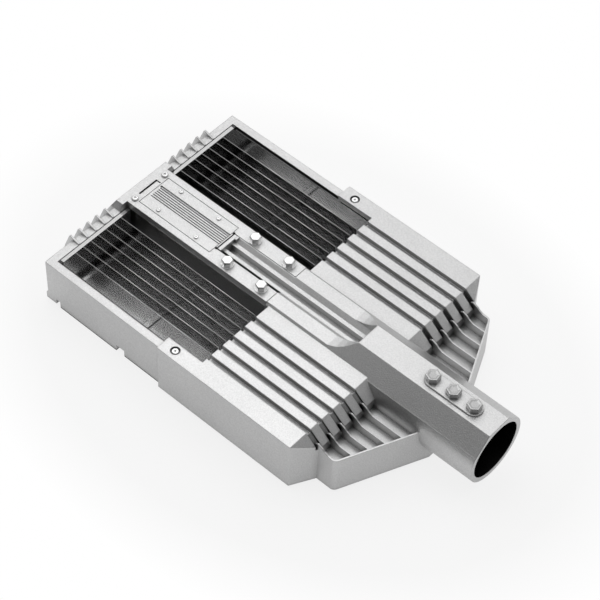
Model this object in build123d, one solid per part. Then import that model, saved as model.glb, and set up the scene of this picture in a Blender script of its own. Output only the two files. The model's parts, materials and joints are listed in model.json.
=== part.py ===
from build123d import *
import os
import math

# LED street light head: front frame with two finned heat sinks and four LED modules, rear housing with
# the gear compartment and a spigot for a 60 mm pole arm. Millimetres. The sizes below are read from the
# slope edge at the pole end of the wings (x = 0), the wing tops (z = 0) and the middle plane (y = 0).
# The finished pieces are moved so that the origin is the centre of the spigot mouth, on its axis.

os.makedirs("parts", exist_ok=True)

# Overall plan
half_width = 137.0
tab_cheek = 4.7
rail_w = 8.3
frame_half_width = half_width - tab_cheek
rail_inner = frame_half_width - rail_w
tab_inner = rail_inner - 3.4
tab_front = -166.5
bay_rear = -123.4
front_face = -320.6
front_bar_inner = -312.0
rim_z = -6.3
housing_bottom = -61.5
bar_bottom = -61.7

# Spine beam
spine_half = 28.5
spine_top = 2.3
spine_plate_bottom = -6.2
spine_rear = -127.4
beam_wall = 4.0
beam_wall_top = 2.6
beam_step_z = -24.0
beam_inset = 1.7
beam_bottom = -58.0
fork_half = 13.1
fork_front = -207.2
fork_relief_r = 1.4
block_half_top = 34.7
block_half_foot = 38.5

# Front ribs
rib_first_face = 48.8
rib_count = 5
rib_margin = 36.5
front_rib_t = 1.8
rib_pitch = (frame_half_width - rib_margin - rib_first_face) / (rib_count - 1)
rib_left_faces = [rib_first_face + k * rib_pitch for k in range(rib_count)]

# Heat sinks
sink_front = -311.3
sink_rear = -124.2
sink_gap = 0.5
sink_inner = 29.2
sink_outer = rail_inner - sink_gap
sink_top = -6.6
fin_first = 42.4
fin_count = 7
fin_margin = 19.24
fin_pitch = (sink_outer - fin_margin - fin_first) / (fin_count - 1)
fin_tip_t = 0.7
fin_root_t = 2.4
fin_top = -6.85
fin_rear = -128.2
sink_rib_x = (-222.6, -214.4)
sink_rib_h = 1.6
sink_base_top = -48.0
sink_base_bottom = -54.0
sink_wall = 2.2
sink_front_wall = 3.9
sink_curve_r = 7.0
sink_inner_wall_top = -36.0
sink_screw_x = [-307.8, -222.0, -132.0]
sink_screw_y = [34.5, sink_outer - 4.5]
sink_screw_r = 1.7
sink_head_r = 3.0
sink_head_h = 2.0

# LED modules
ledge_bottom = -58.0
ledge_w = 10.0
module_x = [(-304.0, -227.4), (-216.5, -139.9)]
module_inner = 40.0
module_names = ["front", "rear"]
board_t = 1.6
board_margin = 9.0
led_size = 5.0
led_h = 1.8
led_cols = 4
led_rows = 3
led_row_inset = 9.667
gasket_t = 1.4
lens_t = 3.0
lens_clear = 0.4
lens_dome_r = 7.0
lens_dome_h = 1.0
bezel_t = 1.2
bezel_w = 8.0
lug_bottom = -62.4
notch_bottom = -55.2
module_screw_r = 1.5
module_head_r = 2.75
module_head_h = 1.1

# Wings and slopes
groove_first = 50.4
groove_count = 5
groove_margin = 25.2
groove_pitch = (half_width - groove_margin - groove_first) / (groove_count - 1)
groove_w = 6.0
groove_depth = 5.05
slope_foot_x = 15.1
slope_foot_z = -13.3
channel_offset = 3.8
channel_tilt = 1.1
corner_x = 13.4
corner_y = half_width - 24.1
skirt_corner_x = 34.0
skirt_end_x = 75.0
skirt_end_y = 23.3
rim_top = -15.3
skirt_floor = -25.5
skirt_wall_t = 1.9
skirt_rib_t = 1.5
wall_t = 3.5
lip_w = 4.6
ceiling_z = -19.5
skirt_ceiling = -29.0

# Spigot
mouth_x = 130.7
axis_z = -19.6
bore_r = 31.0
bore_length = 92.0
tube_r = 36.2
flat_z = 16.0
flat_half = 13.6
ramp_foot_x = -51.4
flat_front_x = -24.6
boss_x0 = 45.0
boss_x1 = 110.0
boss_half = 9.3
boss_h = 1.8

# Tongue
tongue_front = -206.2
tongue_bar = 3.9
tongue_bar_top = 1.9
tongue_side = 12.7
tongue_side_left = 11.6
valley_front = -200.0
rail_top = -2.3
rail_out = 8.0
rail_in = 3.9
channel_floor = -10.0
tongue_half = spine_half - beam_inset - beam_wall_top - 0.6
tongue_bottom = -18.0

# Fasteners
clamp_bolt_x = [52.5, 77.0, 101.2]
clamp_af = 13.0
clamp_head_h = 6.2
clamp_dome_r = 10.4
clamp_shank_r = 4.0
spine_bolt_x = [-185.6, -141.8]
spine_bolt_y = spine_half - 8.5
spine_af = 10.0
spine_head_h = 6.4
spine_dome_r = 6.43
spine_shank_r = 3.0
washer_r = 6.5
washer_t = 1.2
tab_screw_x = -151.4
tab_screw_y = half_width - 9.1
tab_pocket_r = 4.9
tab_head_r = 3.5
tab_head_h = 2.6
front_screw_x = -308.4
front_screw_y = spine_half - 7.5
front_head_r = 3.6
front_head_h = 2.2
panel_x = (-303.0, -208.9)
panel_half = spine_half - 7.9
panel_screw_x = [-281.3, -230.7]
panel_screw_y = panel_half - 4.5
panel_head_r = 2.3
panel_t = 2.0
panel_gap = 0.4

# Gear compartment
cover_t = 3.0
cover_gasket_t = 1.5
cover_gap = 0.4
cover_screw_r = 2.0
cover_head_r = 3.6
cover_head_h = 1.6
beam_cover_t = 1.5
beam_cover_half = 30.4
beam_screw_x = [-300.0, -222.0, -140.0]
beam_screw_y = spine_half - beam_inset - beam_wall / 2
beam_screw_r = 1.3
beam_head_r = 2.6
beam_head_h = 1.3

# Inside the gear compartment
driver_x = (-100.0, 0.0)
driver_y = (29.0 - half_width, -46.0)
driver_h = 30.0
driver_tab = 6.0
driver_tab_t = 2.0
surge_x = (-92.0, -46.0)
surge_y = (56.0, 94.0)
surge_h = 26.0
terminal_x = (-38.0, -2.0)
terminal_y = (52.0, 74.0)
terminal_h = 22.0
gear_screw_r = 1.75
gland_z = -38.0
gland_r = 8.8
gland_nut_af = 22.0
earth_x = -30.0
earth_y = 24.0
lead_r = 3.0
branch_r = 1.1
branch_z = -56.75
cover_boss_r = 5.5

shift = Pos(-mouth_x, 0, -axis_z)


def block(x0, x1, y0, y1, z0, z1):
    size = (x1 - x0, y1 - y0, z1 - z0)
    return Pos((x0 + x1) / 2, (y0 + y1) / 2, (z0 + z1) / 2) * Box(*size)


def both(x0, x1, y0, y1, z0, z1):
    return [block(x0, x1, y0, y1, z0, z1), block(x0, x1, -y1, -y0, z0, z1)]


def prism_y(points, y0, y1):
    face = make_face(Polyline(*[(x, 0, z) for x, z in points], close=True))
    return Pos(0, y0, 0) * extrude(face, y1 - y0, dir=(0, 1, 0))


def prism_x(points, x0, x1):
    face = make_face(Polyline(*[(0, y, z) for y, z in points], close=True))
    return Pos(x0, 0, 0) * extrude(face, x1 - x0, dir=(1, 0, 0))


def rod(x, y, z0, z1, r):
    return Pos(x, y, (z0 + z1) / 2) * Cylinder(r, z1 - z0)


def rod_x(x0, x1, y, z, r):
    return Pos((x0 + x1) / 2, y, z) * Rot(0, 90, 0) * Cylinder(r, x1 - x0)


def rod_y(x, y0, y1, z, r):
    return Pos(x, (y0 + y1) / 2, z) * Rot(90, 0, 0) * Cylinder(r, y1 - y0)


def hexagon(x, y, z0, h, af, turn=0.0):
    face = RegularPolygon(af / 2, 6, major_radius=False)
    return Pos(x, y, z0) * Rot(0, 0, turn) * extrude(face, h)


def write(items, name):
    solids = []
    for item in (items if isinstance(items, list) else [items]):
        solids += (shift * item).solids()
    whole = solids[0] if len(solids) == 1 else Compound(children=solids)
    export_step(whole, "parts/" + name + ".step")


# Front frame: bar, rails, spine beam and ledges as one casting.
frame = block(front_face, front_bar_inner, -frame_half_width, frame_half_width, bar_bottom, rim_z)
foot = [(front_face, -50.0), (-322.9, -54.0), (-322.9, bar_bottom), (front_face, bar_bottom)]
adds = [prism_y(foot, -frame_half_width, frame_half_width)]
adds += both(front_bar_inner, bay_rear - 0.1, rail_inner, frame_half_width, notch_bottom, rim_z)
for x0, x1 in module_x:
    adds += both(x0, x1, rail_inner, frame_half_width, lug_bottom, notch_bottom)
adds += both(-314.0, -309.6, rail_inner, frame_half_width, bar_bottom, notch_bottom)
adds += [block(front_bar_inner, spine_rear, -spine_half, spine_half, spine_plate_bottom, spine_top)]
beam_face = spine_half - beam_inset
adds += both(front_bar_inner, bay_rear - 0.1, beam_face - beam_wall, beam_face, beam_bottom, beam_step_z)
adds += both(front_bar_inner, bay_rear - 0.1, beam_face - beam_wall_top, beam_face,
             beam_step_z, spine_plate_bottom)
adds += both(front_bar_inner, bay_rear - 0.1, rail_inner - ledge_w, rail_inner,
             ledge_bottom, sink_base_bottom)
adds += both(front_bar_inner, bay_rear - 0.1, beam_face, module_inner, ledge_bottom, sink_base_bottom)
for x0, x1 in ((front_bar_inner, -295.0), (-234.0, -210.0), (-148.0, bay_rear - 0.1)):
    adds += both(x0, x1, module_inner - 1, rail_inner - ledge_w + 1, ledge_bottom, sink_base_bottom)
nose = [(front_bar_inner, spine_top), (front_face, spine_top), (-334.7, -23.6), (-335.5, -30.0),
        (-335.5, -46.0), (front_face, -54.0), (front_bar_inner, -54.0)]
centre = prism_y(nose, -block_half_foot, block_half_foot)
draft = [(-block_half_foot - 3.2, -54.0), (-block_half_foot, rim_z), (-block_half_top, spine_top),
         (block_half_top, spine_top), (block_half_foot, rim_z), (block_half_foot + 3.2, -54.0)]
centre = centre & prism_x(draft, -340.0, front_bar_inner)
adds += [centre]
rib_side = [(-312.2, rim_z - 2.0), (-312.2, -5.5), (-323.6, -1.4), (-324.8, -3.0), (-331.8, -21.2),
            (-333.4, -27.0), (-333.4, -44.0), (front_face + 1.0, -54.0), (front_face + 1.0, rim_z - 2.0)]
for face_y in rib_left_faces:
    adds += [prism_y(rib_side, face_y - front_rib_t, face_y)]
    adds += [prism_y(rib_side, -face_y, -face_y + front_rib_t)]
frame = frame + adds
cuts = [block(fork_front, spine_rear + 1.0, -fork_half, fork_half, -30.0, spine_top + 1)]
cuts += [rod(fork_front, sy * (fork_half - 0.4), -30, spine_top + 1, fork_relief_r) for sy in (-1, 1)]
cuts += [block(panel_x[0] - panel_gap, panel_x[1] + panel_gap, -panel_half - panel_gap,
               panel_half + panel_gap, spine_top - panel_t, spine_top + 1)]
cuts += [block(panel_x[0] + 4, panel_x[1] - 4, -9.5, 9.5, -30.0, spine_top)]
cuts += [block(-310.9, -309.0, -13.3, 11.0, -30.0, spine_top + 1)]
cuts += [block(-310.9, -304.6, 10.2, 11.4, -30.0, spine_top + 1)]
for x in panel_screw_x:
    for sy in (-1, 1):
        cuts += [rod(x, sy * panel_screw_y, -5.0, spine_top + 1, 1.2)]
for x in spine_bolt_x:
    for sy in (-1, 1):
        cuts += [rod(x, sy * spine_bolt_y, -10.0, spine_top + 1, spine_shank_r + 0.3)]
for sy in (-1, 1):
    cuts += [rod(front_screw_x, sy * front_screw_y, -12.0, spine_top + 1, 1.7)]
    cuts += [rod(tab_screw_x, sy * tab_screw_y, -20.0, rim_z + 1, 1.7)]
# wire passages from the beam into the two bays and the gear compartment
for sy in (-1, 1):
    for x0, x1 in module_x:
        cuts += [rod_y((x0 + x1) / 2, *sorted((sy * 20.5, sy * 51.0)), branch_z, branch_r + 0.05)]
sink_screw_xy = [(x, sy * y) for x in sink_screw_x for y in sink_screw_y for sy in (-1, 1)]
for x, y in sink_screw_xy:
    cuts += [rod(x, y, ledge_bottom - 1, sink_base_bottom + 1, sink_screw_r + 0.3)]
for x in beam_screw_x:
    for sy in (-1, 1):
        cuts += [rod(x, sy * beam_screw_y, ledge_bottom - 1, ledge_bottom + 8.5, beam_screw_r)]
module_screws = []
for x0, x1 in module_x:
    for sy in (-1, 1):
        for x in (x0 + 4.0, x1 - 4.0):
            for y in (module_inner + 4.0, rail_inner - 4.0):
                module_screws.append((x, sy * y))
for x, y in module_screws:
    cuts += [rod(x, y, ledge_bottom - 1, sink_base_bottom, module_screw_r)]
frame = frame - cuts
write(frame, "front_frame")

# Rear housing
outline = [(bay_rear, -half_width), (0, -half_width), (corner_x, -corner_y),
           (skirt_corner_x, -corner_y), (skirt_end_x, -skirt_end_y), (skirt_end_x, skirt_end_y),
           (skirt_corner_x, corner_y), (corner_x, corner_y), (0, half_width), (bay_rear, half_width)]
plan = make_face(Polyline(*outline, close=True))
corners = [v for v in plan.vertices() if abs(v.X - skirt_corner_x) < 0.1]
plan = fillet(corners, 6.0)
lip_plan = offset(plan, -wall_t, kind=Kind.INTERSECTION)
inner_plan = offset(plan, -wall_t - lip_w, kind=Kind.INTERSECTION)


def slab(face, z0, z1):
    return Pos(0, 0, z0) * extrude(face, z1 - z0, dir=(0, 0, 1))


slope = [(bay_rear, 0), (0, 0), (slope_foot_x, slope_foot_z), (slope_foot_x, housing_bottom),
         (bay_rear, housing_bottom)]
wings = slab(plan, housing_bottom, 0) & prism_y(slope, -half_width, half_width)
skirt = slab(plan, housing_bottom, rim_top)
skirt = skirt & block(slope_foot_x - 3, 200, -200, 200, housing_bottom, rim_top)
cells = offset(plan, -skirt_wall_t, kind=Kind.INTERSECTION)
cell_cut = slab(cells, skirt_floor, rim_top + 1)
cell_cut = cell_cut & block(slope_foot_x - channel_offset / 0.77, 200, -200, 200, skirt_floor, rim_top + 1)
skirt = skirt - cell_cut
run = math.hypot(slope_foot_x, slope_foot_z)
ux = slope_foot_x / run
uz = slope_foot_z / run
groove_y = [groove_first + k * groove_pitch for k in range(groove_count)]
slope_plane = Plane(origin=(0, 0, 0), x_dir=(0, 1, 0), z_dir=(ux, 0, uz))
grooves = []
for y in groove_y:
    for sy in (-1, 1):
        y0 = sy * y - groove_w / 2
        y1 = sy * y + groove_w / 2
        grooves.append(block(bay_rear - 1, 0, y0, y1, -groove_depth, 1))
        floor0 = channel_offset - sy * channel_tilt
        floor1 = channel_offset + sy * channel_tilt
        section = Polyline((y0, 6), (y1, 6), (y1, -floor1), (y0, -floor0), close=True)
        grooves.append(extrude(slope_plane * make_face(section), run + 8, dir=(ux, 0, uz)))
wings = wings - grooves
rib_top = [(13.0, -7.4), (18.2, -10.2), (20.8, -12.6), (25.0, -14.9), (30.0, rim_top), (79.0, rim_top),
           (79.0, skirt_floor - 1), (10.0, skirt_floor - 1), (10.0, -9.0)]
ribs = []
for y in groove_y[:-1]:
    for sy in (-1, 1):
        ribs += [prism_y(rib_top, sy * y - skirt_rib_t / 2, sy * y + skirt_rib_t / 2)]
side_ribs = []
for sy in (-1, 1):
    yy = corner_y - skirt_wall_t / 2
    side_ribs += [prism_y(rib_top, sy * yy - skirt_wall_t / 2, sy * yy + skirt_wall_t / 2)]
rib_body = (Compound(children=ribs + side_ribs)).solids()
body_limit = slab(plan, housing_bottom, 0)
skirt_ribs = [r & body_limit for r in rib_body]

# centre body: flat top, planar flanks and the round underside of the spigot
run45 = 18.07
centre_top = [(-flat_half, flat_z), (flat_half, flat_z), (flat_half + run45, flat_z - run45),
              (0, axis_z - 8.0), (-flat_half - run45, flat_z - run45)]
tube = rod_x(-20.0, mouth_x, 0, axis_z, tube_r) & block(-20, mouth_x, -60, 60, -80, flat_z - run45 + 0.4)
tube = tube + prism_x(centre_top, flat_front_x - 30, mouth_x)
tube = tube & block(0, mouth_x, -60, 60, -80, 60)
ridge_side = [(flat_half, flat_z), (30.4, -0.8), (31.5, -6.0)]
ridge_section = [(-y, z) for y, z in reversed(ridge_side)] + ridge_side
ridge = prism_x(ridge_section, spine_rear + 0.4, 2.0)
ramp_points = [(spine_rear - 1, spine_top), (ramp_foot_x, spine_top), (-43.0, 4.6), (-36.5, 7.6),
               (-31.0, 11.4), (-27.2, 14.6), (flat_front_x, flat_z), (3.0, flat_z), (3.0, -8.0),
               (spine_rear - 1, -8.0)]
ridge = ridge & prism_y(ramp_points, -40, 40)
body = wings + [skirt, ridge, tube] + skirt_ribs
boss = block(boss_x0 + boss_half, boss_x1 - boss_half, -boss_half, boss_half, flat_z - 1, flat_z + boss_h)
boss = boss + [rod(boss_x0 + boss_half, 0, flat_z - 1, flat_z + boss_h, boss_half),
               rod(boss_x1 - boss_half, 0, flat_z - 1, flat_z + boss_h, boss_half)]
boss_top = boss.faces().sort_by(Axis.Z)[-1]
boss = chamfer(boss_top.edges(), 0.7)
body = body + boss
tabs = both(tab_front, bay_rear, tab_inner, half_width, rim_z, 0)
tabs += both(tab_front, bay_rear, frame_half_width, half_width, housing_bottom, rim_z)
# tongue with two rails between the fork arms
tongue = [block(tongue_front, spine_rear + 0.4, -rail_out, tongue_side, spine_plate_bottom - 1, spine_top)]
tongue += [block(tongue_front, tongue_front + tongue_bar, -tongue_side_left, 0,
                 spine_plate_bottom - 1, spine_top)]
tongue += [block(tongue_front, bay_rear + 1, -tongue_half, tongue_half, tongue_bottom,
                 spine_plate_bottom)]
tongue += [block(spine_rear + 0.4, bay_rear + 1, -spine_half + 0.6, spine_half - 0.6,
                 spine_plate_bottom, spine_top)]
body = body + tabs + tongue
valley = [(-rail_in, channel_floor), (-rail_in, rail_top), (-rail_out, rail_top),
          (-fork_half, spine_top), (-fork_half, 20.0), (fork_half, 20.0), (fork_half, spine_top),
          (rail_out, rail_top), (rail_in, rail_top), (rail_in, channel_floor)]
slope_wall = [(rail_out - 0.1, rail_top), (rail_out, rail_top), (fork_half, spine_top), (fork_half, 20.0),
              (rail_out - 0.1, 20.0)]
cuts = [prism_x(valley, spine_rear + 0.4, flat_front_x - 1.0)]
cuts += [prism_x(slope_wall, valley_front, spine_rear + 0.5)]
cuts += [block(tongue_front + tongue_bar, spine_rear + 0.5, -rail_out - 1, rail_out, rail_top, spine_top + 1)]
cuts += [block(tongue_front - 1, tongue_front + tongue_bar + 0.1, -fork_half, fork_half, tongue_bar_top,
               spine_top + 1)]
cuts += [block(tongue_front + tongue_bar, spine_rear + 0.5, -rail_in, rail_in, channel_floor, 5.0)]
cuts += [block(tongue_front + tongue_bar, spine_rear + 0.4, -fork_half, -rail_out, -60.0, 5.0)]
# gear compartment
cavity_cut = slab(inner_plan, housing_bottom + cover_t + cover_gasket_t, ceiling_z)
keep_skirt = block(slope_foot_x - 6, 200, -200, 200, skirt_ceiling, 0)
keep_skirt = keep_skirt - block(0, 30, -gland_nut_af, gland_nut_af, -60, ceiling_z)
keep_tube = rod_x(24.0, 200, 0, axis_z, tube_r) + block(24.0, 200, -tube_r, tube_r, -90, axis_z)
cavity_cut = cavity_cut - keep_skirt - keep_tube
lip_cut = slab(lip_plan, housing_bottom - 1, housing_bottom + cover_t + cover_gasket_t)
lip_cut = lip_cut - [block(40.0, 200, -tube_r, tube_r, -90, housing_bottom + 30)]
body = body - cavity_cut - lip_cut
cover_y = half_width - 27.0
cover_side_y = half_width - 10.8
cover_end_y = corner_y - 10.9
cover_screw_xy = [(-112.6, -cover_y), (-112.6, -40.0), (-112.6, 40.0), (-112.6, cover_y),
                  (-40.0, -cover_side_y), (-40.0, cover_side_y), (21.0, -cover_end_y), (21.0, cover_end_y)]
bosses = [rod(x, y, housing_bottom + cover_t + cover_gasket_t, ceiling_z + 1, cover_boss_r)
          for x, y in cover_screw_xy]
body = body + [b - block(9.1, 200, -200, 200, skirt_ceiling + 1, 10) for b in bosses]
cuts += [rod_x(mouth_x - bore_length, mouth_x + 1, 0, axis_z, bore_r)]
cuts += [rod_x(10.0, mouth_x - bore_length + 1, 0, gland_z, gland_r + 0.2)]
for x in clamp_bolt_x:
    cuts += [rod(x, 0, axis_z + bore_r - 6, flat_z + boss_h + 1, clamp_shank_r)]
for x in spine_bolt_x:
    for sy in (-1, 1):
        cuts += [rod(x, sy * spine_bolt_y, tongue_bottom - 1, spine_plate_bottom + 1, spine_shank_r)]
for sy in (-1, 1):
    cuts += [rod(tab_screw_x, sy * tab_screw_y, rim_z - 1, 1, 1.9)]
    cuts += [rod(tab_screw_x, sy * tab_screw_y, -tab_head_h - 0.4, 1, tab_pocket_r)]
for x, y in cover_screw_xy:
    cuts += [rod(x, y, -57.5, -42.0, cover_screw_r)]
cuts += [block(bay_rear - 1, bay_rear + 14, -10, 10, -50, -30)]
driver_mid = (driver_y[0] + driver_y[1]) / 2
surge_mid = (surge_y[0] + surge_y[1]) / 2
terminal_mid = (terminal_y[0] + terminal_y[1]) / 2
driver_screw_xy = [(driver_x[0] - driver_tab / 2, driver_mid),
                   (driver_x[1] + driver_tab / 2, driver_mid)]
surge_screw_xy = [(surge_x[0] - driver_tab / 2, surge_mid), (surge_x[1] + driver_tab / 2, surge_mid)]
terminal_screw_xy = [(terminal_x[0] - driver_tab / 2, terminal_mid),
                     (terminal_x[1] + driver_tab / 2, terminal_mid)]
for x, y in driver_screw_xy + surge_screw_xy + terminal_screw_xy:
    cuts += [rod(x, y, ceiling_z - 1, ceiling_z + 2.6, gear_screw_r)]
cuts += [rod(earth_x, earth_y, ceiling_z - 1, -12.0, 2.0)]
body = body - cuts
write(body, "rear_housing")

# Spine panel with lengthwise grooves
panel = block(panel_x[0], panel_x[1], -panel_half, panel_half, spine_top - panel_t, spine_top)
slots = []
for k in range(6):
    y = -7.0 + 2.6 * k
    slots += [block(panel_x[0] + 3.0, panel_x[1] + 1, y - 0.45, y + 0.45, spine_top - 1.0, spine_top + 1)]
slots += [block(panel_x[0] + 1.5, panel_x[1] + 1, 7.0, 9.2, spine_top - 1.3, spine_top + 1)]
slots += [rod(x, sy * panel_screw_y, -10, 10, 1.4) for x in panel_screw_x for sy in (-1, 1)]
write(panel - slots, "spine_panel")
panel_screws = []
for x in panel_screw_x:
    for sy in (-1, 1):
        y = sy * panel_screw_y
        head = rod(x, y, spine_top, spine_top + 1.2, panel_head_r)
        head = chamfer(head.faces().sort_by(Axis.Z)[-1].edges(), 0.5)
        head = head - Pos(x, y, spine_top + 0.6) * extrude(RegularPolygon(1.0, 6), 2)
        panel_screws.append(head + rod(x, y, -4.5, spine_top, 1.2))
write(panel_screws, "panel_screws")

front_screws = []
for sy in (-1, 1):
    y = sy * front_screw_y
    head = rod(front_screw_x, y, spine_top, spine_top + front_head_h, front_head_r)
    head = fillet(head.faces().sort_by(Axis.Z)[-1].edges(), 1.4)
    head = head - Pos(front_screw_x, y, spine_top + 1.0) * extrude(RegularPolygon(1.4, 6), 3)
    front_screws.append(head + rod(front_screw_x, y, -11.0, spine_top, 1.7))
write(front_screws, "front_screws")


def hex_bolt(x, y, z0, head_h, af, dome_r, shank_r, z_tip, turn=0.0):
    crown = Pos(x, y, z0 + head_h - dome_r) * Sphere(dome_r)
    head = hexagon(x, y, z0, head_h, af, turn) & crown
    return head + rod(x, y, z_tip, z0, shank_r)


spine_bolts = []
washers = []
for x in spine_bolt_x:
    for sy in (-1, 1):
        y = sy * spine_bolt_y
        z0 = spine_top + washer_t
        spine_bolts.append(hex_bolt(x, y, z0, spine_head_h, spine_af, spine_dome_r, spine_shank_r,
                                    tongue_bottom + 1, 10))
        washers.append(rod(x, y, spine_top, z0, washer_r) - rod(x, y, 0, 10, spine_shank_r))
write(spine_bolts, "spine_bolts")
write(washers, "spine_washers")
clamp_bolts = []
for x in clamp_bolt_x:
    z0 = flat_z + boss_h
    bolt = hex_bolt(x, 0, z0, clamp_head_h, clamp_af, clamp_dome_r, clamp_shank_r, axis_z + bore_r + 0.35, 8)
    dimple = Cone(0.5, 3.0, 0.8, align=(Align.CENTER, Align.CENTER, Align.MAX))
    clamp_bolts.append(bolt - Pos(x, 0, z0 + clamp_head_h + 0.05) * dimple)
write(clamp_bolts, "clamp_bolts")
tab_screws = []
for sy in (-1, 1):
    y = sy * tab_screw_y
    z0 = -tab_head_h - 0.4
    head = rod(tab_screw_x, y, z0, z0 + tab_head_h, tab_head_r)
    head = chamfer(head.faces().sort_by(Axis.Z)[-1].edges(), 0.5)
    head = head - Pos(tab_screw_x, y, z0 + 1.2) * extrude(RegularPolygon(1.2, 6), 3)
    tab_screws.append(head + rod(tab_screw_x, y, -19.0, z0, 1.7))
write(tab_screws, "tab_screws")

# Heat sinks: base with a low cross rib, tapered fins, front wall with a concave foot, side walls
side_names = {-1: "left", 1: "right"}
for sy in (-1, 1):
    y_pair = sorted((sy * sink_inner, sy * sink_outer))
    sink = block(sink_front, sink_rear, y_pair[0], y_pair[1], sink_base_bottom, sink_base_top)
    r = sink_curve_r
    xf = sink_front + sink_front_wall
    toe = [(sink_front, sink_base_bottom), (sink_front, sink_top), (xf, sink_top)]
    for k in range(9):
        a = math.radians(180 + 90 * k / 8)
        toe.append((xf + r + r * math.cos(a), sink_base_top + r + r * math.sin(a)))
    toe.append((xf + r, sink_base_bottom))
    heel = [(sink_rear, sink_base_bottom), (sink_rear, -22.0), (sink_rear - 2.0, -22.0)]
    for k in range(7):
        a = math.radians(0 - 90 * k / 6)
        heel.append((sink_rear - 2.0 - 16 + 16 * math.cos(a), sink_base_top + 16 + 16 * math.sin(a)))
    heel.append((sink_rear - 18.0, sink_base_bottom))
    bits = [prism_y(toe, *y_pair), prism_y(heel, *y_pair)]
    outer_wall = sorted((sy * sink_outer, sy * (sink_outer - sink_wall)))
    inner_wall = sorted((sy * sink_inner, sy * (sink_inner + sink_wall)))
    bits += [block(sink_front, sink_rear, outer_wall[0], outer_wall[1], sink_base_top - 1, -9.0)]
    bits += [block(sink_front, sink_rear, inner_wall[0], inner_wall[1], sink_base_top - 1,
                   sink_inner_wall_top)]
    cross = block(sink_rib_x[0], sink_rib_x[1], y_pair[0], y_pair[1],
                  sink_base_top - 1, sink_base_top + sink_rib_h)
    bits += [fillet(cross.faces().sort_by(Axis.Z)[-1].edges().filter_by(Axis.Y), 1.5)]
    for k in range(fin_count):
        y = sy * (fin_first + fin_pitch * k)
        blade = [(y - fin_root_t / 2, sink_base_top - 1), (y - fin_tip_t / 2, fin_top),
                 (y + fin_tip_t / 2, fin_top), (y + fin_root_t / 2, sink_base_top - 1)]
        bits += [prism_x(blade, sink_front, fin_rear)]
    sink = sink + bits
    holes = [rod(x, y, sink_base_bottom - 1, sink_base_bottom + 8, sink_screw_r)
             for x, y in sink_screw_xy if y * sy > 0]
    sink = sink - holes
    write(sink, "heatsink_" + side_names[sy])

sink_screws = []
for x, y in sink_screw_xy:
    head = rod(x, y, ledge_bottom - sink_head_h, ledge_bottom, sink_head_r)
    sink_screws.append(head + rod(x, y, ledge_bottom, sink_base_bottom + 7, sink_screw_r))
write(sink_screws, "heatsink_screws")

# LED modules
led_bits = []
lens_screws = []
board_screws = []
for index, (x0, x1) in enumerate(module_x):
    xm = (x0 + x1) / 2
    for sy in (-1, 1):
        name = side_names[sy] + "_" + module_names[index]
        ya, yb = sorted((sy * module_inner, sy * rail_inner))
        ym = (ya + yb) / 2
        hx = (x1 - x0) / 2
        hy = (yb - ya) / 2
        bx = hx - board_margin - 2.0
        by = hy - ledge_w - 3.0
        board = block(xm - bx, xm + bx, ym - by, ym + by, sink_base_bottom - board_t, sink_base_bottom)
        pads = [rod(xm + sx * (bx - 4), ym + s * (by - 4), -70, -40, 1.5) for sx in (-1, 1) for s in (-1, 1)]
        write(board - pads, "led_board_" + name)
        for sx in (-1, 1):
            for s in (-1, 1):
                px = xm + sx * (bx - 4)
                py = ym + s * (by - 4)
                head = rod(px, py, sink_base_bottom - board_t - 1.4, sink_base_bottom - board_t, 2.7)
                board_screws.append(head + rod(px, py, sink_base_bottom - board_t, sink_base_bottom, 1.5))
        gasket = block(x0 + 0.6, x1 - 0.6, ya + 0.6, yb - 0.6, ledge_bottom - gasket_t, ledge_bottom)
        opening = block(x0 + 9.4, x1 - 9.4, ya + 9.4, yb - 9.4, -80, -40)
        holes = [rod(x, y, -80, -40, module_screw_r + 0.2) for x, y in module_screws]
        near = [h for h in holes if x0 - 1 < h.center().X < x1 + 1 and ya - 1 < h.center().Y < yb + 1]
        write(gasket - [opening] - near, "lens_gasket_" + name)
        lens_top = ledge_bottom - gasket_t
        lens = block(x0 + lens_clear, x1 - lens_clear, ya + lens_clear, yb - lens_clear,
                     lens_top - lens_t, lens_top)
        domes = []
        for i in range(led_cols):
            for j in range(led_rows):
                dx = (i - (led_cols - 1) / 2) * 2 * bx / led_cols
                dy = (2 * j / (led_rows - 1) - 1) * (by - led_row_inset)
                lx = xm + dx
                ly = ym + dy
                led_bits.append(block(lx - led_size / 2, lx + led_size / 2, ly - led_size / 2,
                                      ly + led_size / 2, sink_base_bottom - board_t - led_h,
                                      sink_base_bottom - board_t))
                domes.append(Pos(lx, ly, lens_top - lens_t) * Rot(180, 0, 0)
                             * Cone(lens_dome_r, lens_dome_r - 2.0, lens_dome_h,
                                    align=(Align.CENTER, Align.CENTER, Align.MIN)))
        lens = lens + domes
        write(lens - near, "lens_plate_" + name)
        yo, yi = sy * frame_half_width, sy * module_inner
        ring = block(x0, x1, min(yo, yi), max(yo, yi), lug_bottom - bezel_t, lug_bottom)
        window = block(x0 + bezel_w, x1 - bezel_w, ya + bezel_w, yb - bezel_w, -80, -40)
        wide = [rod(x, y, -80, -40, module_head_r + 0.3) for x, y in module_screws
                if x0 - 1 < x < x1 + 1 and ya - 1 < y < yb + 1]
        write(ring - [window] - wide, "lens_bezel_" + name)
for x, y in module_screws:
    z0 = lug_bottom
    head = rod(x, y, z0 - module_head_h, z0, module_head_r)
    lens_screws.append(head + rod(x, y, z0, sink_base_bottom - 1.0, module_screw_r))
write(led_bits, "led_packages")
write(board_screws, "board_screws")
write(lens_screws, "lens_screws")

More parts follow.
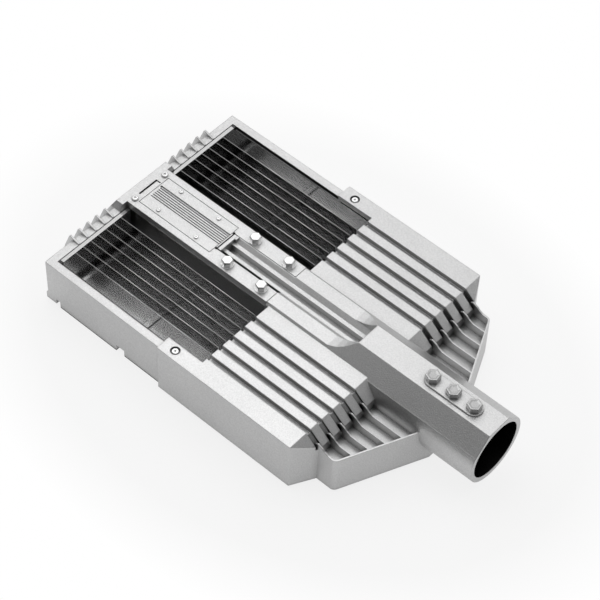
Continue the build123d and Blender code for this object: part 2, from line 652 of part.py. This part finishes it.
# Gear compartment cover, gasket and screws
cover_plan = offset(plan, -wall_t - cover_gap, kind=Kind.INTERSECTION)
gasket_in = offset(plan, -wall_t - lip_w + 0.6, kind=Kind.INTERSECTION)
cover_holes = [rod(x, y, -80, -40, cover_screw_r + 0.3) for x, y in cover_screw_xy]
cover_holes += [rod(x, y, -80, housing_bottom + cover_head_h + 0.1, cover_head_r + 0.3)
                for x, y in cover_screw_xy]
tail = block(39.6, 200, -tube_r - 0.4, tube_r + 0.4, -90, 0)
cover = slab(cover_plan, housing_bottom, housing_bottom + cover_t) - cover_holes - tail
write(cover, "gear_cover")
z_g = housing_bottom + cover_t
cover_gasket = slab(cover_plan, z_g, z_g + cover_gasket_t) - slab(gasket_in, z_g - 1, z_g + 4)
cover_gasket = cover_gasket - tail
write(cover_gasket, "gear_cover_gasket")
cover_screws = []
for x, y in cover_screw_xy:
    z0 = housing_bottom + cover_head_h + 0.1
    head = rod(x, y, z0 - cover_head_h, z0, cover_head_r)
    cover_screws.append(head + rod(x, y, z0, -44.0, cover_screw_r))
write(cover_screws, "gear_cover_screws")

# Strip that closes the spine beam from below
beam_holes = [rod(x, sy * beam_screw_y, -70, -40, beam_screw_r + 0.1) for x in beam_screw_x for sy in (-1, 1)]
beam_cover = block(front_bar_inner + 0.4, bay_rear - 0.5, -beam_cover_half, beam_cover_half,
                   ledge_bottom - beam_cover_t, ledge_bottom)
write(beam_cover - beam_holes, "beam_cover")
beam_screws = []
for x in beam_screw_x:
    for sy in (-1, 1):
        y = sy * beam_screw_y
        z0 = ledge_bottom - beam_cover_t
        head = rod(x, y, z0 - beam_head_h, z0, beam_head_r)
        beam_screws.append(head + rod(x, y, z0, ledge_bottom + 8.0, beam_screw_r))
write(beam_screws, "beam_cover_screws")

# Driver, surge protector and terminal block, screwed to the ceiling of the gear compartment
driver = block(driver_x[0], driver_x[1], driver_y[0], driver_y[1], ceiling_z - driver_h, ceiling_z)
driver = chamfer(driver.faces().sort_by(Axis.Z)[0].edges(), 2.5)
feet = block(driver_x[0] - driver_tab, driver_x[1] + driver_tab, driver_mid - 9, driver_mid + 9,
             ceiling_z - driver_tab_t, ceiling_z)
driver = driver + feet - [rod(x, y, -30, -10, gear_screw_r) for x, y in driver_screw_xy]
write(driver, "driver")
surge = block(surge_x[0], surge_x[1], surge_y[0], surge_y[1], ceiling_z - surge_h, ceiling_z)
surge = chamfer(surge.faces().sort_by(Axis.Z)[0].edges(), 2.0)
surge = surge + block(surge_x[0] - driver_tab, surge_x[1] + driver_tab, surge_mid - 6, surge_mid + 6,
                      ceiling_z - driver_tab_t, ceiling_z)
write(surge - [rod(x, y, -30, -10, gear_screw_r) for x, y in surge_screw_xy], "surge_protector")
terminal = block(terminal_x[0], terminal_x[1], terminal_y[0], terminal_y[1],
                 ceiling_z - terminal_h, ceiling_z)
ways = []
for k in range(4):
    wx = terminal_x[0] + 4.5 + 9.0 * k
    ways += [rod(wx, terminal_y[0] + 6, ceiling_z - terminal_h - 1, ceiling_z - terminal_h + 6, 2.6)]
    ways += [rod(wx, terminal_y[1] - 6, ceiling_z - terminal_h - 1, ceiling_z - terminal_h + 6, 2.6)]
terminal = terminal + block(terminal_x[0] - driver_tab, terminal_x[1] + driver_tab, terminal_mid - 5,
                            terminal_mid + 5, ceiling_z - driver_tab_t, ceiling_z)
terminal = terminal - ways - [rod(x, y, -30, -10, gear_screw_r) for x, y in terminal_screw_xy]
write(terminal, "terminal_block")
gear_screws = []
for x, y in driver_screw_xy + surge_screw_xy + terminal_screw_xy:
    z0 = ceiling_z - driver_tab_t
    gear_screws.append(rod(x, y, z0 - 2.0, z0, 2.9) + rod(x, y, z0, z0 + 4.4, gear_screw_r))
write(gear_screws, "gear_screws")
earth = hexagon(earth_x, earth_y, ceiling_z - 2.8, 2.8, 7.0) + rod(earth_x, earth_y, ceiling_z, -12.0, 2.0)
write(earth, "earth_screw")

# Cable gland in the wall between the spigot and the gear compartment
gland_wall = 24.0
gland_thread = rod_x(gland_wall, mouth_x - bore_length - 0.2, 0, gland_z, gland_r)
nut_face = RegularPolygon(gland_nut_af / 2, 6, major_radius=False)
flange = Pos(gland_wall - 4.0, 0, gland_z) * Rot(0, 90, 0) * extrude(nut_face, 4.0)
dome = rod_x(gland_wall - 15.0, gland_wall - 4.0, 0, gland_z, 9.6)
dome = chamfer(dome.faces().sort_by(Axis.X)[0].edges(), 2.0)
gland = flange + dome + gland_thread
gland = gland - rod_x(gland_wall - 20, mouth_x, 0, gland_z, lead_r + 0.5)
write(gland, "cable_gland")


def lead(points, radii, r):
    path = FilletPolyline(*points, radius=radii)
    start = Vector(*points[0])
    direction = Vector(*points[1]) - start
    disc = Plane(origin=start, z_dir=direction) * Circle(r)
    return sweep(disc, path=path)


supply = lead([(mouth_x - bore_length, 0, gland_z), (-20.0, 0, gland_z), (-20.0, terminal_y[0], gland_z)],
              [14.0], lead_r)
write(supply, "supply_lead")
trunk_z = ledge_bottom + lead_r
far = (module_x[0][0] + module_x[0][1]) / 2 - 4.0
trunk = lead([(-70.0, driver_y[1], -40.0), (-70.0, 0, -40.0), (-150.0, 0, -40.0), (-175.0, 0, trunk_z),
              (far, 0, trunk_z)], [14.0, 30.0, 30.0], lead_r)
branches = []
for x0, x1 in module_x:
    for sy in (-1, 1):
        branches.append(rod_y((x0 + x1) / 2, *sorted((sy * 2.8, sy * 56.0)), branch_z, branch_r))
write([trunk] + branches, "led_leads")
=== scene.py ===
"""Looks for the LED street light head.

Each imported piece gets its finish, crisp hex bolts take the place of the plain ones, and camera, floor,
sky and lamps are set. Lengths are in metres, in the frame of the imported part.
"""

import json
import math

import bmesh
import bpy
from mathutils import Matrix, Vector


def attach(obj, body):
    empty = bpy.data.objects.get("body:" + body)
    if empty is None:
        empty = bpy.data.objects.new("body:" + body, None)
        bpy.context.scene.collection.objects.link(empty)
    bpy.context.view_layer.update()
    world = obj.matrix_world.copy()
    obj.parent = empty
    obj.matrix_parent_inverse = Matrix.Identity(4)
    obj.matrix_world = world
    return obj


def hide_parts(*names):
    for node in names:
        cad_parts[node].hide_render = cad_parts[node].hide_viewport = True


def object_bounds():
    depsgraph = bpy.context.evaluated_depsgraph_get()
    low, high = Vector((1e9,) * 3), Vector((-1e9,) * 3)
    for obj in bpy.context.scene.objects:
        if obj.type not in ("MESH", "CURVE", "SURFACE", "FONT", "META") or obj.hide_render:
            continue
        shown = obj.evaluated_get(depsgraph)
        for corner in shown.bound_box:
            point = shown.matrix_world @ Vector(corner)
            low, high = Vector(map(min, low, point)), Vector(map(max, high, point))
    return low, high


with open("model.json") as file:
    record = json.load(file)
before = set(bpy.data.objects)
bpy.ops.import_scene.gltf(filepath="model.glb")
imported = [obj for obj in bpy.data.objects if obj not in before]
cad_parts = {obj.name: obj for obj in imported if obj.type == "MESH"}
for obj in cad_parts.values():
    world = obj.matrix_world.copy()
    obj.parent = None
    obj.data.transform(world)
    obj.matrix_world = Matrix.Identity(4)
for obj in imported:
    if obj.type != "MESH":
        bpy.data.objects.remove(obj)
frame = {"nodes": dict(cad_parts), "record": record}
cad_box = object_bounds()

# Camera

CAMERA_AT = Vector((0.585437, -0.991899, 1.638739))
CAMERA_AZIMUTH = math.radians(39.7801)
CAMERA_ELEVATION = math.radians(51.5467)
CAMERA_ROLL = math.radians(2.5457)
CAMERA_LENS = 130.629
CAMERA_SENSOR = 36.0
CAMERA_CLIP = (0.05, 50.0)


def make_camera():
    data = bpy.data.cameras.new("camera")
    data.sensor_width = CAMERA_SENSOR
    data.lens = CAMERA_LENS
    data.clip_start, data.clip_end = CAMERA_CLIP
    camera = bpy.data.objects.new("camera", data)
    bpy.context.scene.collection.objects.link(camera)
    flat = math.cos(CAMERA_ELEVATION)
    back = Vector((math.sin(CAMERA_AZIMUTH) * flat,
                   -math.cos(CAMERA_AZIMUTH) * flat,
                   math.sin(CAMERA_ELEVATION)))
    level = Vector((math.cos(CAMERA_AZIMUTH), math.sin(CAMERA_AZIMUTH), 0.0))
    upright = back.cross(level)
    side = level * math.cos(CAMERA_ROLL) + upright * math.sin(CAMERA_ROLL)
    top = upright * math.cos(CAMERA_ROLL) - level * math.sin(CAMERA_ROLL)
    turn = Matrix((side, top, back)).transposed().to_4x4()
    camera.matrix_world = Matrix.Translation(CAMERA_AT) @ turn
    bpy.context.scene.camera = camera


make_camera()

# Shader nodes

# Sockets of the Mix node when it mixes colours.
MIX_FACTOR, MIX_A, MIX_B, MIX_RESULT = 0, 6, 7, 2

CORNER_SAMPLES = 4
CORNER_RANGE = (0.25, 0.85)
EDGE_SAMPLES = 6


def grey(level):
    return (level, level, level)


def wire(tree, socket, value):
    """Feeds an input from another node, or sets it to a plain value."""
    if isinstance(value, bpy.types.NodeSocket):
        tree.links.new(value, socket)
    else:
        socket.default_value = value


def maths(tree, operation, a, b):
    node = tree.nodes.new("ShaderNodeMath")
    node.operation = operation
    wire(tree, node.inputs[0], a)
    wire(tree, node.inputs[1], b)
    return node.outputs["Value"]


def vectors(tree, operation, a, b=None):
    node = tree.nodes.new("ShaderNodeVectorMath")
    node.operation = operation
    wire(tree, node.inputs[0], a)
    if b is not None:
        wire(tree, node.inputs["Scale" if operation == "SCALE" else 1], b)
    return node.outputs["Value" if operation in ("LENGTH", "DOT_PRODUCT") else "Vector"]


class Shader:
    """A material being wired: its tree, its main shader and short ways to add nodes."""

    def __init__(self, name):
        self.material = bpy.data.materials.new(name)
        self.material.use_nodes = True
        self.tree = self.material.node_tree
        self.main = self.tree.nodes["Principled BSDF"]
        self.place = self.add("ShaderNodeTexCoord").outputs["Object"]

    def add(self, kind, **inputs):
        node = self.tree.nodes.new(kind)
        for key, value in inputs.items():
            wire(self.tree, node.inputs[key.replace("_", " ")], value)
        return node

    def set(self, **inputs):
        """Feeds the main shader."""
        for key, value in inputs.items():
            wire(self.tree, self.main.inputs[key.replace("_", " ")], value)

    def math(self, operation, a, b):
        return maths(self.tree, operation, a, b)

    def noise(self, scale, detail=2.0, coarseness=0.5, at=None):
        node = self.add("ShaderNodeTexNoise", Vector=at or self.place, Scale=scale, Detail=detail,
                        Roughness=coarseness)
        return node.outputs["Fac"]

    def stretched(self, scale):
        return self.add("ShaderNodeMapping", Vector=self.place, Scale=scale).outputs["Vector"]

    def split(self):
        return self.add("ShaderNodeSeparateXYZ", Vector=self.place).outputs

    def span(self, value, low, high, start=0.0, end=1.0):
        """Maps start to low and end to high, and holds there beyond them."""
        node = self.add("ShaderNodeMapRange", Value=value, From_Min=start, From_Max=end,
                        To_Min=low, To_Max=high)
        return node.outputs["Result"]

    def mix(self, factor, a, b, blend="MIX"):
        node = self.tree.nodes.new("ShaderNodeMix")
        node.data_type = "RGBA"
        node.blend_type = blend
        for index, value in ((MIX_FACTOR, factor), (MIX_A, a), (MIX_B, b)):
            wire(self.tree, node.inputs[index], (*value, 1.0) if isinstance(value, tuple) else value)
        return node.outputs[MIX_RESULT]

    def both(self, a, b):
        """1 where both tests hold."""
        return self.math("MULTIPLY", a, b)

    def between(self, value, limits):
        above = self.math("GREATER_THAN", value, limits[0])
        return self.both(above, self.math("LESS_THAN", value, limits[1]))

    def corner_shade(self, reach, dark):
        """1 on open faces, falling to dark where walls stand within reach, as shade gathers in corners."""
        node = self.add("ShaderNodeAmbientOcclusion", Distance=reach)
        node.samples = CORNER_SAMPLES
        return self.span(node.outputs["AO"], dark, 1.0, *CORNER_RANGE)

    def bump(self, height, depth, strength, soft_edge=0.0):
        """Fine relief, over edges that look rounded by soft_edge."""
        node = self.add("ShaderNodeBump", Height=height, Strength=strength, Distance=depth)
        if soft_edge > 0.0:
            edge = self.add("ShaderNodeBevel", Radius=soft_edge)
            edge.samples = EDGE_SAMPLES
            self.tree.links.new(edge.outputs["Normal"], node.inputs["Normal"])
        self.tree.links.new(node.outputs["Normal"], self.main.inputs["Normal"])


# Cast aluminium

CAST_TONE = 0.71
CAST_ROUGH = (0.28, 0.40)
CAST_GRAIN = 0.0004
CAST_STRENGTH = 0.6
CAST_EDGE = 0.0011
CLOUD_SCALE = 14.0
CLOUD_TONES = (0.96, 1.04)
CLOUD_RANGE = (0.25, 0.75)
SPARKLE_SCALE = 850.0
SPARKLE_TONES = (0.80, 1.02)
SPARKLE_RANGE = (0.3, 0.7)
CORNER_REACH = 0.007
CORNER_DARK = 0.22

# Painted shade in the spigot bore: inside this radius and span the casting's colour is made nearly black.
BORE_RADIUS = 0.0313
BORE_X = (-0.0925, -0.0004)
BORE_SHADE_TONE = 0.03

# The walls of the bays, as seen from above on either side of the middle; below BAY_TOP their colour is
# painted dark as shade in the deep bays.
BAY_X = (-0.4427, -0.2541)
BAY_Y = (0.0255, 0.1242)
BAY_TOP = 0.0125
BAY_SHADE_TONE = 0.13


def cast_metal(name):
    """Shot-blasted casting: fine sparkle, faint clouds of tone, softened edges."""
    m = Shader(name)
    clouds = m.noise(CLOUD_SCALE, 3.0)
    sparkle = m.noise(SPARKLE_SCALE, 2.0, 0.7)
    low, high = (grey(CAST_TONE * share) for share in CLOUD_TONES)
    tint = m.mix(m.span(clouds, 0.0, 1.0, *CLOUD_RANGE), low, high)
    low, high = (grey(share) for share in SPARKLE_TONES)
    speck = m.mix(m.span(sparkle, 0.0, 1.0, *SPARKLE_RANGE), low, high)
    m.set(Metallic=1.0, Roughness=m.span(sparkle, *CAST_ROUGH, *SPARKLE_RANGE))
    m.bump(sparkle, CAST_GRAIN, CAST_STRENGTH, CAST_EDGE)
    colour = m.mix(1.0, tint, speck, "MULTIPLY")
    return m, vectors(m.tree, "SCALE", colour, m.corner_shade(CORNER_REACH, CORNER_DARK))


def plain_cast(name):
    m, colour = cast_metal(name)
    m.set(Base_Color=colour)
    return m.material


def bored_cast(name):
    """The casting of the rear housing, with shade painted into its spigot bore: the bore's colour is made
    nearly black.
    """
    m, colour = cast_metal(name)
    from_axis = vectors(m.tree, "LENGTH", m.stretched((0.0, 1.0, 1.0)))
    # Painted shade: the inside of the spigot takes a nearly black colour, as shade in the deep hole.
    bore = m.both(m.math("LESS_THAN", from_axis, BORE_RADIUS), m.between(m.split()["X"], BORE_X))
    m.set(Base_Color=m.mix(bore, colour, grey(BORE_SHADE_TONE)))
    return m.material


def bay_cast(name):
    """The casting of the front frame, with shade painted on the inner walls of the two bays: their colour
    is made dark.
    """
    m, colour = cast_metal(name)
    at = m.split()
    across = m.between(m.math("ABSOLUTE", at["Y"], 0.0), BAY_Y)
    plan = m.both(m.between(at["X"], BAY_X), across)
    # Painted shade: the walls inside the bays take a dark colour, as the deep bays lie in shade.
    bay_shade = m.both(plan, m.math("LESS_THAN", at["Z"], BAY_TOP))
    m.set(Base_Color=m.mix(bay_shade, colour, grey(BAY_SHADE_TONE)))
    return m.material


# Heat sinks and bolts

SINK_TONE = 0.62
SINK_ROUGH = 0.12
# Painted shade: the fin tips and the top of the outer sink wall take these darker colours, for the dark of
# the deep finned bays.
FIN_TIP_SHADE_TONE = 0.25
FIN_TIP_Z = 0.01265
FIN_START_X = -0.4380
SINK_WALL_SHADE_TONE = FIN_TIP_SHADE_TONE / 3
SINK_WALL_Z = 0.0100
SINK_WALL_Y = 0.1205

TURNED_SCALE = 420.0
BOLT_GRAIN = 0.00003
BOLT_STRENGTH = 0.4
BOLT_CORNER_REACH = 0.005
BOLT_CORNER_DARK = 0.15
BOLT_ROUGH_SPREAD = 0.05


def finned_metal(name):
    """Smooth metal of the heat sinks, with shade painted along the fin tips and the top of the outer wall:
    their colour is made darker.
    """
    m = Shader(name)
    at = m.split()
    # Painted shade on the fin tips and on the top of the outer wall of the sinks.
    tip = m.both(m.math("GREATER_THAN", at["Z"], FIN_TIP_Z), m.math("GREATER_THAN", at["X"], FIN_START_X))
    outer = m.math("GREATER_THAN", m.math("ABSOLUTE", at["Y"], 0.0), SINK_WALL_Y)
    wall = m.both(m.math("GREATER_THAN", at["Z"], SINK_WALL_Z), outer)
    fins = m.mix(tip, grey(SINK_TONE), grey(FIN_TIP_SHADE_TONE))
    m.set(Metallic=1.0, Base_Color=m.mix(wall, fins, grey(SINK_WALL_SHADE_TONE)), Roughness=SINK_ROUGH)
    return m.material


def bolt_metal(name, low, high, rough):
    m = Shader(name)
    turned = m.noise(TURNED_SCALE)
    shade = m.corner_shade(BOLT_CORNER_REACH, BOLT_CORNER_DARK)
    m.set(Metallic=1.0, Base_Color=vectors(m.tree, "SCALE", m.mix(turned, grey(low), grey(high)), shade))
    m.set(Roughness=m.span(turned, rough - BOLT_ROUGH_SPREAD, rough + BOLT_ROUGH_SPREAD))
    m.bump(turned, BOLT_GRAIN, BOLT_STRENGTH)
    return m.material


# Other finishes

GRAIN_STRENGTH = 0.5
PLASTIC_GRAIN = 0.00006
PLASTIC_ROUGH_SPREAD = 0.06

# Darkest colour, lightest colour, roughness and scale of the grain.
PLASTICS = {
    "board": ((0.86, 0.86, 0.84), (0.93, 0.93, 0.91), 0.45, 300.0),
    "led": ((0.86, 0.72, 0.30), (0.93, 0.82, 0.42), 0.25, 500.0),
    "seal": (grey(0.012), grey(0.028), 0.62, 700.0),
    "bezel": (grey(0.014), grey(0.032), 0.48, 900.0),
    "black_plastic": (grey(0.018), grey(0.04), 0.4, 600.0),
    "surge": ((0.03, 0.05, 0.13), (0.05, 0.08, 0.2), 0.32, 400.0),
    "terminal": ((0.82, 0.82, 0.78), (0.9, 0.9, 0.86), 0.4, 500.0),
    "cable": (grey(0.02), grey(0.045), 0.55, 800.0),
}


def grained(name, colours, rough, scale, detail=2.0, coarseness=0.5, metallic=0.0, depth=0.0, edge=0.0,
            stretch=None):
    """A plain finish: one noise moves its tone and its roughness between two values each."""
    m = Shader(name)
    at = m.stretched(stretch) if stretch else m.place
    grain = m.noise(scale, detail, coarseness, at)
    m.set(Metallic=metallic, Base_Color=m.mix(grain, *colours), Roughness=m.span(grain, *rough))
    if depth > 0.0:
        m.bump(grain, depth, GRAIN_STRENGTH, edge)
    return m


def make_finishes():
    made = {
        "cast": plain_cast("cast_aluminium"),
        "bored_cast": bored_cast("housing_aluminium"),
        "bay_cast": bay_cast("frame_aluminium"),
        "sink": finned_metal("sink_aluminium"),
        "bright_bolt": bolt_metal("bright_bolt", 0.84, 0.94, 0.2),
        "dull_bolt": bolt_metal("dull_bolt", 0.42, 0.56, 0.26),
    }
    made["steel"] = grained("stainless", (grey(0.74), grey(0.88)), (0.16, 0.28), TURNED_SCALE,
                            metallic=1.0, depth=0.00004, edge=0.0004).material
    made["brass"] = grained("brass", ((0.70, 0.52, 0.22), (0.82, 0.66, 0.34)), (0.22, 0.36), 300.0,
                            metallic=1.0).material
    made["driver_case"] = grained("driver_case", (grey(0.62), grey(0.72)), (0.3, 0.42), 60.0, 3.0, 0.6,
                                  metallic=1.0, depth=0.00005, stretch=(1.0, 12.0, 12.0)).material
    for slot, (low, high, rough, scale) in PLASTICS.items():
        limits = (rough - PLASTIC_ROUGH_SPREAD, rough + PLASTIC_ROUGH_SPREAD)
        made[slot] = grained(slot + "_finish", (low, high), limits, scale, 3.0, 0.6,
                             depth=PLASTIC_GRAIN).material
    lens = grained("lens_clear", ((0.93, 0.95, 0.96), (0.97, 0.98, 0.98)), (0.03, 0.08), 90.0)
    lens.set(Transmission_Weight=0.9, IOR=1.5, Alpha=0.55)
    made["lens"] = lens.material
    return made


finishes = make_finishes()
slot_of = {row["node"]: row["material_slot"] for row in frame["record"]["subparts"]}
slot_of["rear_housing"] = "bored_cast"
slot_of["front_frame"] = "bay_cast"
for node_name, part in frame["nodes"].items():
    for index in range(len(part.material_slots)):
        part.material_slots[index].material = finishes[slot_of[node_name]]

# Hex bolts

SHANK_SEGMENTS = 24
SHOULDER_SEGMENTS = 4

# Shares of the width across flats.
HEAD_RIM = 0.06
HEAD_DISH = 0.13
HEAD_MIDDLE = 0.125

BOLTS = {
    "clamp_hex_bolts": {
        "node": "clamp_bolts",
        "finish": "dull_bolt",
        "places": [(-0.0782, 0.0), (-0.0537, 0.0), (-0.0295, 0.0)],
        "seat": 0.0374,
        "tip": 0.03135,
        "across": 0.013,
        "height": 0.0062,
        "shoulder": 0.0009,
        "dish": 0.0006,
        "shank": 0.004,
        "turn": math.radians(8),
    },
    "spine_hex_bolts": {
        "node": "spine_bolts",
        "finish": "bright_bolt",
        "places": [(-0.3163, -0.02), (-0.3163, 0.02), (-0.2725, -0.02), (-0.2725, 0.02)],
        "seat": 0.0231,
        "tip": 0.0026,
        "across": 0.0105,
        "height": 0.0062,
        "shoulder": 0.0016,
        "dish": 0.0,
        "shank": 0.003,
        "turn": math.radians(10),
    },
}


def height_of(face):
    return face.calc_center_median().z


def hex_head(bm, at, across, height, shoulder, dish, turn):
    """One hex head on the ground: six flats, a rounded shoulder, and a dish in the middle of its top."""
    corner = across / math.sqrt(3)
    matrix = Matrix.Translation((*at, height / 2)) @ Matrix.Rotation(turn, 4, "Z")
    made = bmesh.ops.create_cone(bm, cap_ends=True, segments=6, radius1=corner, radius2=corner,
                                 depth=height, matrix=matrix)
    faces = {face for vert in made["verts"] for face in vert.link_faces}
    top = max(faces, key=height_of)
    bmesh.ops.bevel(bm, geom=list(top.edges), offset=shoulder, segments=SHOULDER_SEGMENTS, profile=0.5,
                    affect="EDGES", material=-1)
    middle = [face for face in bm.faces
              if (face.calc_center_median().xy - Vector(at)).length < across * HEAD_MIDDLE]
    top = max(middle, key=height_of)
    bmesh.ops.inset_individual(bm, faces=[top], thickness=across * HEAD_RIM, depth=0.0)
    bmesh.ops.inset_individual(bm, faces=[top], thickness=across * HEAD_DISH, depth=-dish)


def make_bolts(name, node, finish, places, seat, tip, across, height, shoulder, dish, shank, turn):
    """One piece that holds all bolts of a kind, each head on its seat and each shank down to its tip."""
    mesh = bpy.data.meshes.new(name)
    bm = bmesh.new()
    for place in places:
        hex_head(bm, place, across, height, shoulder, dish, turn)
    for x, y in places:
        matrix = Matrix.Translation((x, y, (tip - seat) / 2))
        bmesh.ops.create_cone(bm, cap_ends=True, segments=SHANK_SEGMENTS, radius1=shank, radius2=shank,
                              depth=seat - tip, matrix=matrix)
    bmesh.ops.translate(bm, verts=bm.verts, vec=(0.0, 0.0, seat))
    bm.to_mesh(mesh)
    bm.free()
    mesh.materials.append(finishes[finish])
    piece = bpy.data.objects.new(name, mesh)
    bpy.context.scene.collection.objects.link(piece)
    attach(piece, "root")
    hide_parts(node)


for bolt_name, sizes in BOLTS.items():
    make_bolts(bolt_name, **sizes)

# Studio

WHITE = (1.0, 1.0, 1.0, 1.0)
FLOOR_REACH = (0.40, 0.30)
FLOOR_CENTRE = (-0.233, 0.0)
FLOOR_SEGMENTS = 96
FLOOR_TONES = (grey(0.93), grey(0.96))
FLOOR_GAP = 0.0002

# The floor's share of plain white, and the shares of its reach between which it rises.
FLOOR_WHITE = (0.82, 1.0)
FLOOR_FADE = (0.75, 0.97)
FLOOR_MIRRORED = 0.40

# The sky is brightest where the upward faces mirror it to the camera.
SKY_TOWARDS = (-0.398, 0.478, 0.783)
SKY_RISE = 1.01
SKY_MIRRORED = 0.15

# Place, target, width, height and power in watts.
LAMPS = {
    "strip_front": ((-0.71, 0.0, 0.6), (-0.71, 0.0, 0.0), 0.03, 1.2, 0.25),
    "strip_rear": ((-0.625, 0.0, 0.6), (-0.625, 0.0, 0.0), 0.03, 1.2, 0.25),
    "softbox_top": ((-0.27, 0.05, 0.52), (-0.27, 0.05, 0.0), 0.50, 0.34, 0.38),
    "softbox_side": ((0.11, 0.6, 0.12), (-0.12, 0.06, 0.013), 0.30, 0.16, 0.18),
}


def white_share(tree, seen, mirrored):
    """How much plain white a ray meets: seen by the camera and through glass, and mirrored in the metal."""
    path = tree.nodes.new("ShaderNodeLightPath").outputs
    straight = maths(tree, "MAXIMUM", path["Is Camera Ray"], path["Is Transmission Ray"])
    return maths(tree, "MAXIMUM", maths(tree, "MULTIPLY", straight, seen),
                 maths(tree, "MULTIPLY", path["Is Glossy Ray"], mirrored))


def blend_shaders(tree, share, plain, white, surface):
    """Sends plain to the surface, and white in its place by the given share."""
    blend = tree.nodes.new("ShaderNodeMixShader")
    tree.links.new(share, blend.inputs["Fac"])
    tree.links.new(plain, blend.inputs[1])
    tree.links.new(white, blend.inputs[2])
    tree.links.new(blend.outputs["Shader"], surface)


def make_floor():
    bottom = cad_box[0].z - FLOOR_GAP
    mesh = bpy.data.meshes.new("floor")
    bm = bmesh.new()
    bmesh.ops.create_circle(bm, cap_ends=True, segments=FLOOR_SEGMENTS, radius=1.0)
    bmesh.ops.scale(bm, verts=bm.verts, vec=(*FLOOR_REACH, 1.0))
    bmesh.ops.translate(bm, verts=bm.verts, vec=(*FLOOR_CENTRE, bottom))
    bm.to_mesh(mesh)
    bm.free()
    floor = bpy.data.objects.new("floor", mesh)
    bpy.context.scene.collection.objects.link(floor)
    m = Shader("floor_white")
    m.set(Base_Color=m.mix(m.noise(3.0), *FLOOR_TONES), Roughness=0.9, Specular_IOR_Level=0.0)
    glow = m.add("ShaderNodeEmission", Strength=1.0)
    centred = vectors(m.tree, "SUBTRACT", m.place, (*FLOOR_CENTRE, bottom))
    from_centre = vectors(m.tree, "LENGTH", vectors(m.tree, "DIVIDE", centred, (*FLOOR_REACH, 1.0)))
    faded = m.span(from_centre, *FLOOR_WHITE, *FLOOR_FADE)
    blend_shaders(m.tree, white_share(m.tree, faded, FLOOR_MIRRORED), m.main.outputs["BSDF"],
                  glow.outputs["Emission"], m.tree.nodes["Material Output"].inputs["Surface"])
    mesh.materials.append(m.material)


def make_sky():
    world = bpy.data.worlds.new("studio")
    world.use_nodes = True
    bpy.context.scene.world = world
    tree = world.node_tree
    light = tree.nodes["Background"]
    light.inputs["Color"].default_value = WHITE
    where = tree.nodes.new("ShaderNodeTexCoord").outputs["Generated"]
    towards = maths(tree, "MAXIMUM", vectors(tree, "DOT_PRODUCT", where, SKY_TOWARDS), 0.0)
    wire(tree, light.inputs["Strength"], maths(tree, "MULTIPLY", towards, SKY_RISE))
    white = tree.nodes.new("ShaderNodeBackground")
    white.inputs["Color"].default_value = WHITE
    blend_shaders(tree, white_share(tree, 1.0, SKY_MIRRORED), light.outputs["Background"],
                  white.outputs["Background"], tree.nodes["World Output"].inputs["Surface"])


def make_lamp(name, at, towards, width, height, power):
    data = bpy.data.lights.new(name, "AREA")
    data.shape = "RECTANGLE"
    data.size = width
    data.size_y = height
    data.energy = power
    lamp = bpy.data.objects.new(name, data)
    bpy.context.scene.collection.objects.link(lamp)
    aim = (Vector(towards) - Vector(at)).to_track_quat("-Z", "Y")
    lamp.matrix_world = Matrix.Translation(at) @ aim.to_matrix().to_4x4()


make_floor()
make_sky()
for lamp_name, settings in LAMPS.items():
    make_lamp(lamp_name, *settings)
bpy.context.scene.view_settings.view_transform = "Standard"
bpy.context.scene.cycles.max_bounces = 16
bpy.context.scene.cycles.glossy_bounces = 8
